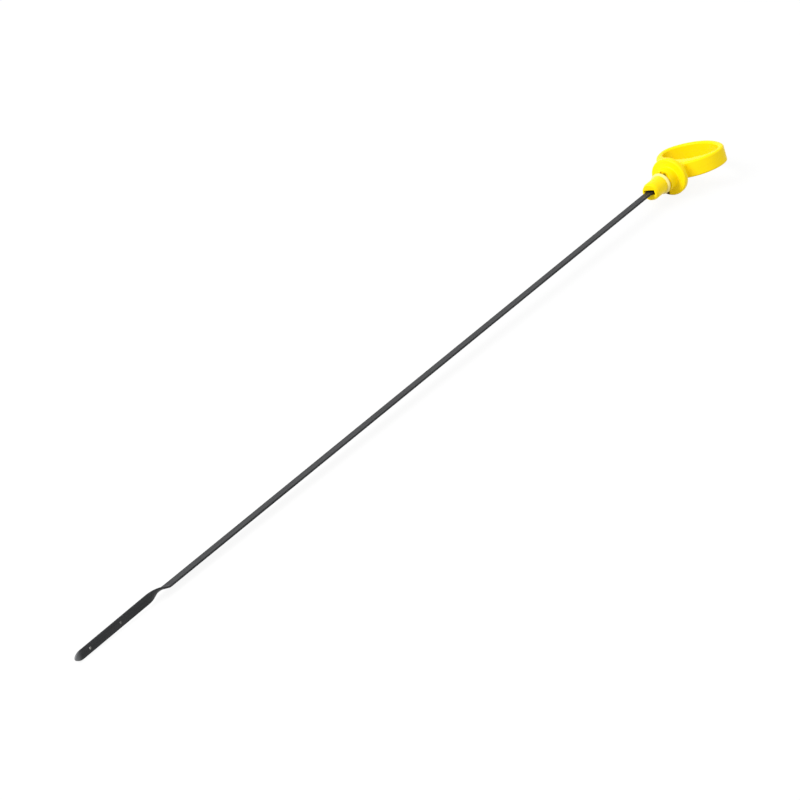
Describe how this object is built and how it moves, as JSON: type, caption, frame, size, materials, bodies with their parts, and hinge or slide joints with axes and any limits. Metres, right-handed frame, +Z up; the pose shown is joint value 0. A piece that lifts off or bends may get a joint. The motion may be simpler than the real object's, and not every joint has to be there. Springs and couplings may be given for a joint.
{
  "type": "oil dipstick",
  "caption": "Long flat metal strip with a twisted, drilled blade end, fixed in a moulded plug with a seal ring, collar and finger-ring handle, for reading the oil level in an engine.",
  "frame": {"origin": "centre of the bounding box's base, on the ground that the dipstick lies on", "axes": "+X along the dipstick from the blade's tip to the finger ring, +Y across it, +Z up"},
  "size_m": [0.6948, 0.0448, 0.025],
  "materials": {
    "coated_steel": "black coating, low sheen",
    "yellow_plastic": "smooth moulded, glossy",
    "cream_rubber": "smooth, slightly satin"
  },
  "bodies": {
    "root": {"gauge_strip": "coated_steel", "handle": "yellow_plastic", "seal_ring": "cream_rubber"}
  },
  "joints": []
}
